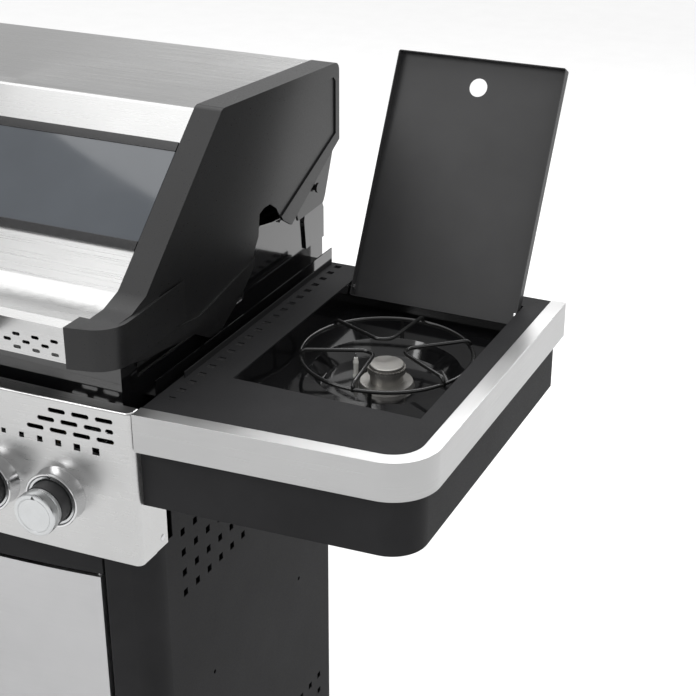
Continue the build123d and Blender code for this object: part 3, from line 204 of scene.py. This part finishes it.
# ---------------------------------------------------------------- softened edges on the CAD pieces
EDGE = {
    "hood_end_right": 3.0, "hood_end_left": 3.0, "hood_shell": 0.5, "control_panel": 0.5,
    "right_shelf_trim": 0.5, "left_shelf_trim": 0.5, "side_burner_lid": 0.5, "burner_tray": 0.5,
    "window_frame": 0.4, "window_glass": 0.6, "handle_posts": 1.5,
    "side_burner": 0.4, "door_left": 0.4, "door_right": 0.4, "door_handle_left": 0.8,
    "door_handle_right": 0.8, "grate_left": 0.8, "grate_right": 0.8, "hood_hinge_bolts": 0.5,
    "lid_screws": 0.4, "grease_tray": 0.4, "base_shelf": 0.4, "door_frame": 0.8,
}
MERGE = 0.01 * MM
CORNER_ANGLE = math.radians(38)
for node, width in EDGE.items():
    weld = nodes[node].modifiers.new("join", "WELD")
    weld.merge_threshold = MERGE
    round_off = nodes[node].modifiers.new("edges", "BEVEL")
    round_off.width = width * MM
    round_off.segments = 3
    round_off.limit_method = "ANGLE"
    round_off.angle_limit = CORNER_ANGLE
    even = nodes[node].modifiers.new("shade", "WEIGHTED_NORMAL")
    even.weight = 100


# ---------------------------------------------------------------- mesh helpers
def finished(name, mesh, place, look, body, slot, *replaced):
    """A new piece that moves with a body and stands for the CAD nodes that it replaces."""
    piece = bpy.data.objects.new(name, mesh)
    piece.matrix_world = place
    bpy.context.scene.collection.objects.link(piece)
    mesh.materials.append(look)
    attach(piece, body)
    if replaced:
        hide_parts(*replaced)


def facing(origin, axis, up=(0, 0, 1)):
    """Matrix that puts a piece's Z along axis and its Y as near to up as it goes."""
    z = Vector(axis).normalized()
    x = Vector(up).cross(z).normalized()
    return Matrix.Translation(origin) @ Matrix((x, z.cross(x), z)).transposed().to_4x4()


CREASE_ANGLE = math.radians(32)  # turned pieces are shaded sharp across anything steeper


def turned(mesh, profile, steps, ribs):
    """Adds a closed profile of (radius, along) in millimetres, turned about Z. ribs is (first, last,
    count, depth): the profile's points in that range are cut into that many ribs."""
    work = bmesh.new()
    work.from_mesh(mesh)
    steps = ribs[2] * 4 if ribs else steps
    rings = []
    for index, (radius, along) in enumerate(profile):
        ring = []
        for step in range(steps):
            angle = 2 * math.pi * step / steps
            cut = ribs[3] if ribs and ribs[0] <= index <= ribs[1] and step % 4 > 1 else 0
            reach = (radius - cut) * MM
            ring.append(work.verts.new((reach * math.cos(angle), reach * math.sin(angle), along * MM)))
        rings.append(ring)
    for index, ring in enumerate(rings):
        after = rings[(index + 1) % len(rings)]
        for step in range(steps):
            ahead = (step + 1) % steps
            work.faces.new((ring[step], ring[ahead], after[ahead], after[step]))
    bmesh.ops.recalc_face_normals(work, faces=work.faces)
    for face in work.faces:
        face.smooth = True
    work.to_mesh(mesh)
    work.free()


PIN_HOLE = 0.05  # millimetres


def capped(profile):
    """Closes a profile at the axis with a tiny bore, so that every ring is a real one."""
    return [(PIN_HOLE, profile[-1][1]), (PIN_HOLE, profile[0][1])] + profile


def lathe(name, profile, place, look, body, slot, *replaced, steps=96, ribs=None):
    """A turned piece, shaded smooth across its gentle edges only."""
    mesh = bpy.data.meshes.new(name)
    turned(mesh, profile, steps, ribs)
    mesh.set_sharp_from_angle(angle=CREASE_ANGLE)
    finished(name, mesh, place, look, body, slot, *replaced)


def rounded(points, radii, steps):
    """The points of a path with its inner corners turned into arcs."""
    path = [Vector(points[0])]
    for before, corner, after, radius in zip(points, points[1:], points[2:], radii):
        corner = Vector(corner)
        start = (Vector(before) - corner).normalized()
        end = (Vector(after) - corner).normalized()
        half = start.angle(end) / 2
        middle = corner + (start + end).normalized() * (radius / math.sin(half))
        first = (corner + start * (radius / math.tan(half)) - middle).normalized()
        last = (corner + end * (radius / math.tan(half)) - middle).normalized()
        for step in range(steps + 1):
            path.append(middle + first.slerp(last, step / steps) * radius)
    path.append(Vector(points[-1]))
    return path


def wire_mesh(name, paths, radius):
    """Round wire along several paths, each a (points, closed) pair."""
    curve = bpy.data.curves.new(name, "CURVE")
    curve.dimensions = "3D"
    curve.bevel_depth = radius
    curve.bevel_resolution = 5
    curve.use_fill_caps = True
    for points, closed in paths:
        spline = curve.splines.new("POLY")
        spline.points.add(len(points) - 1)
        for place, point in zip(spline.points, points):
            place.co = (*point, 1)
        spline.use_cyclic_u = closed
    holder = bpy.data.objects.new(name, curve)
    bpy.context.scene.collection.objects.link(holder)
    bpy.context.view_layer.update()
    mesh = bpy.data.meshes.new_from_object(holder.evaluated_get(bpy.context.evaluated_depsgraph_get()))
    bpy.data.objects.remove(holder)
    for polygon in mesh.polygons:
        polygon.use_smooth = True
    return mesh


def plate(name, outline, thick, place, look, body, slot, *replaced):
    """Flat plate from an outline in millimetres, standing on the plane of its place."""
    mesh = bpy.data.meshes.new(name)
    work = bmesh.new()
    face = work.faces.new([work.verts.new((x * MM, y * MM, 0)) for x, y in outline])
    raised = bmesh.ops.extrude_face_region(work, geom=[face])
    moved = [item for item in raised["geom"] if isinstance(item, bmesh.types.BMVert)]
    bmesh.ops.translate(work, verts=moved, vec=(0, 0, thick * MM))
    bmesh.ops.recalc_face_normals(work, faces=work.faces)
    work.to_mesh(mesh)
    work.free()
    finished(name, mesh, place, look, body, slot, *replaced)


# ---------------------------------------------------------------- knobs and their bezels
# Profiles are in millimetres: the radius, then the distance along the axis from the panel.
KNOBS = 6
BEZEL = [(34.0, 0), (33.6, 2), (33.0, 4), (32.8, 14), (33.0, 15.2), (33.6, 16), (33.8, 17.2), (33.8, 19),
         (33.2, 19.8), (32.2, 20), (31.2, 19.7), (30.8, 18.6), (30.6, 17), (30.6, 0)]
DIAL = [(30.4, 2), (30.4, 17.6), (29.8, 18.2), (27.2, 18.2), (26.3, 17.4), (26.3, 2)]
GRIP = [(25.2, 4), (25.5, 5), (25.5, 33.2), (25.0, 34), (24.0, 34.2), (4.2, 34.2), (4.2, 4)]
KNURL = [(4.2, 34.2), (22.5, 34.2), (24.2, 34.9), (24.6, 35.4), (24.6, 39.4), (24.2, 40), (22.6, 40.4),
         (22.4, 42.4), (4.2, 42.4)]
CAP = [(4.2, 42.4), (25.4, 42.4), (26.2, 43.0), (26.3, 43.8), (26.3, 50.8), (25.9, 52.2), (24.9, 52.8),
       (23.6, 52.9), (21.3, 52.9), (21.0, 52.4), (20.6, 52.3), (20.2, 52.4), (19.9, 52.9),
       (PIN_HOLE, 52.9), (PIN_HOLE, 46)]
POINTER = [(-2.6, 0), (2.6, 0), (0, 4.2)]
POINTER_OUT = 20.6 * MM   # from the knob's axis
POINTER_SEAT = 52.6 * MM  # along the axis, from the panel
DIAL_MARK = [(-2.4, 3.0), (2.4, 3.0), (0, 0)]
DIAL_MARK_OUT = 26.9 * MM
DIAL_SEAT = 18.2 * MM
POINTER_THICK = 0.35
DIAL_MARK_THICK = 0.2
KNURL_RIBS = (2, 5, 60, 0.5)

for index in range(1, KNOBS + 1):
    knob = f"knob_{index}"
    joint = joints[f"{knob}_turn"]
    place = facing(joint["pos_m"], joint["axis"])
    lathe(f"{knob}_grip", GRIP, place, looks["brake_plastic"], knob, "brake_plastic", knob)
    lathe(f"{knob}_knurl", KNURL, place, looks["knob_metal"], knob, "knob_metal", knob,
          ribs=KNURL_RIBS)
    lathe(f"{knob}_cap", CAP, place, looks["knob_metal"], knob, "knob_metal", knob, steps=128)
    above = Matrix.Translation((0, POINTER_OUT, POINTER_SEAT))
    plate(f"{knob}_pointer", POINTER, POINTER_THICK, place @ above, print_black, knob, "brake_plastic",
          knob)
    lathe(f"bezel_{index}", BEZEL, place, looks["polished_steel"], "cart", "polished_steel", "knob_bezels")
    lathe(f"dial_{index}", DIAL, place, looks["knob_metal"], "cart", "knob_metal", "knob_bezels")
    mark = Matrix.Translation((0, DIAL_MARK_OUT, DIAL_SEAT))
    plate(f"dial_mark_{index}", DIAL_MARK, DIAL_MARK_THICK, place @ mark, print_black, "cart",
          "brake_plastic", "knob_bezels")

# ---------------------------------------------------------------- pan support of bent round wire
WIRE = 2.5 * MM
RING = 103.0 * MM                # radius of the ring
RING_LIFT = 21.0 * MM            # height of the ring above the foot of the support
RING_STEPS = 120
LOOP_TIP = 14.0 * MM             # how near a loop's tip comes to the burner's axis
LOOP_ROUNDS = [7 * MM, 15 * MM, 7 * MM]
LOOP_TURNS = (5, 120, 240)
FOOT_TURNS = (-77, 13, 103, 193)
SPREAD = math.radians(32)        # half the angle between the two ends of a loop
low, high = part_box("pan_support")
burner = Vector(((low.x + high.x) / 2, (low.y + high.y) / 2, 0))
floor_height = low.z
ring_height = low.z + RING_LIFT
loop_height = high.z - WIRE


def around(angle, reach, height):
    """Point at this angle, reach and height about the side burner's axis."""
    return burner + Vector((reach * math.cos(angle), reach * math.sin(angle), height))


ring = [around(math.tau * step / RING_STEPS, RING, ring_height) for step in range(RING_STEPS)]
paths = [(ring, True)]
for turn in LOOP_TURNS:
    middle = math.radians(turn)
    start, end = middle + SPREAD, middle - SPREAD
    drop = ring_height - WIRE
    corners = [around(start, RING, drop), around(start, RING, loop_height),
               around(middle, LOOP_TIP, loop_height), around(end, RING, loop_height),
               around(end, RING, drop)]
    paths.append((rounded(corners, LOOP_ROUNDS, 10), False))
for turn in FOOT_TURNS:
    angle = math.radians(turn)
    paths.append(([around(angle, RING, ring_height), around(angle, RING, floor_height)], False))
finished("pan_support_wire", wire_mesh("pan_support_wire", paths, WIRE), Matrix(), looks["black_steel"],
         "cart", "black_steel", "pan_support")

# ---------------------------------------------------------------- igniter, panel screws
SLEEVE = [(3.6, 0), (3.6, 3), (3.0, 3.4), (3.0, 18), (3.4, 18.6), (3.4, 21), (2.8, 22.4), (2.2, 26)]
TIP = [(0.9, 25), (0.9, 30.5), (0.5, 32)]
low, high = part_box("igniter")
spark = Matrix.Translation(((low.x + high.x) / 2, (low.y + high.y) / 2, low.z))
lathe("igniter_sleeve", capped(SLEEVE), spark, looks["ceramic"], "cart", "ceramic", "igniter", steps=48)
lathe("igniter_tip", capped(TIP), spark, looks["zinc"], "cart", "zinc", "igniter", steps=24)

SCREW = [(4.2, -0.5), (4.2, 0.2), (3.6, 0.6), (2.0, 0.68)]
SCREW_IN = 0.7 * MM      # the panel's ends step in where the screws sit
SCREW_BACK = 48 * MM     # behind the front edge of the shelves
SCREW_DROP = 183 * MM    # below the top of the shelves
low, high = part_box("control_panel")
shelf_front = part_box("right_shelf_trim")[0].y
for side, word in ((-1, "left"), (1, "right")):
    seat = (side * (high.x - SCREW_IN), shelf_front + SCREW_BACK, high.z - SCREW_DROP)
    lathe(f"panel_screw_{word}", capped(SCREW), facing(seat, (side, 0, 0)), looks["zinc"], "cart", "zinc",
          steps=48)

# ---------------------------------------------------------------- caster wheels
for corner in ("front_left", "front_right", "rear_left", "rear_right"):
    node = f"caster_wheel_{corner}"
    low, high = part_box(node)
    middle = (low + high) / 2
    half = (high.x - low.x) / 2 / MM
    radius = (high.z - low.z) / 2 / MM
    place = facing(middle, (1, 0, 0))
    tyre = [(29, -half + 2), (radius - 3, -half), (radius - 1, -half + 1.5), (radius, -half + 5)]
    tyre += [(radius, -3), (radius - 0.8, -2.4), (radius - 0.8, 2.4), (radius, 3)]
    tyre += [(radius, half - 5), (radius - 1, half - 1.5), (radius - 3, half), (29, half - 2)]
    hub = [(4.05, -half), (11, -half), (11.6, -half + 4), (24, -half + 6), (28.8, -half + 2.4)]
    hub += [(28.8, half - 2.4), (24, half - 6), (11.6, half - 4), (11, half), (4.05, half)]
    lathe(f"{node}_tread", tyre, place, looks["tyre"], f"wheel_{corner}", "tyre", node)
    lathe(f"{node}_hub", hub, place, looks["brake_plastic"], f"wheel_{corner}", "brake_plastic", node)

# ---------------------------------------------------------------- floor, light and camera
FLOOR = 14.0
SKY = 0.55
LENS = 77.2
CAMERA_X = 1.138
CAMERA_FRONT = 1.1846    # in front of the shelves' front edge
CAMERA_Z = 1.650
CAMERA_TILT = 64.73      # degrees up from looking straight down
CAMERA_TURN = 25.3

corners = [(-FLOOR, -FLOOR, 0), (FLOOR, -FLOOR, 0), (FLOOR, FLOOR, 0), (-FLOOR, FLOOR, 0)]
floor_mesh = bpy.data.meshes.new("floor")
floor_mesh.from_pydata(corners, [], [(0, 1, 2, 3)])
floor = bpy.data.objects.new("floor", floor_mesh)
bpy.context.scene.collection.objects.link(floor)
floor_look = surface("floor", (0.93, 0.93, 0.93), 0.0, 0.85, 0.95, (3, 3, 3), 0.0001, tone=0.01)
floor_mesh.materials.append(floor_look)

world = bpy.data.worlds.new("studio")
bpy.context.scene.world = world
world.use_nodes = True
background = world.node_tree.nodes["Background"]
background.inputs["Color"].default_value = (1, 1, 1, 1)
background.inputs["Strength"].default_value = SKY


def lamp(name, kind, power):
    """A new light of this kind, and the object that holds it."""
    light = bpy.data.lights.new(name, kind)
    light.energy = power
    holder = bpy.data.objects.new(name, light)
    bpy.context.scene.collection.objects.link(holder)
    return light, holder


def softbox(name, place, target, width, height, power):
    """A rectangular area light that faces its target."""
    light, holder = lamp(name, "AREA", power)
    light.shape = "RECTANGLE"
    light.size = width
    light.size_y = height
    holder.location = place
    holder.rotation_euler = (Vector(target) - Vector(place)).to_track_quat("-Z", "Y").to_euler()


softbox("key", (-1.8, -2.6, 3.4), (0.2, 0, 0.9), 2.4, 1.6, 55)
softbox("side", (3.2, -1.2, 2.2), (0.4, 0, 0.9), 1.4, 2.0, 5)
softbox("back", (0.4, 2.8, 3.2), (0.4, 0.1, 0.9), 2.6, 1.2, 60)
overhead, overhead_holder = lamp("overhead", "SUN", 1.5)
overhead.angle = math.radians(60)
overhead_holder.rotation_euler = (math.radians(-12), math.radians(-18), 0)
bpy.context.scene.view_settings.view_transform = "Standard"

camera_data = bpy.data.cameras.new("camera")
camera_data.lens = LENS
camera_data.sensor_width = 36
camera = bpy.data.objects.new("camera", camera_data)
camera.location = (CAMERA_X, shelf_front - CAMERA_FRONT, CAMERA_Z)
camera.rotation_euler = (math.radians(CAMERA_TILT), 0, math.radians(CAMERA_TURN))
bpy.context.scene.collection.objects.link(camera)
bpy.context.scene.camera = camera
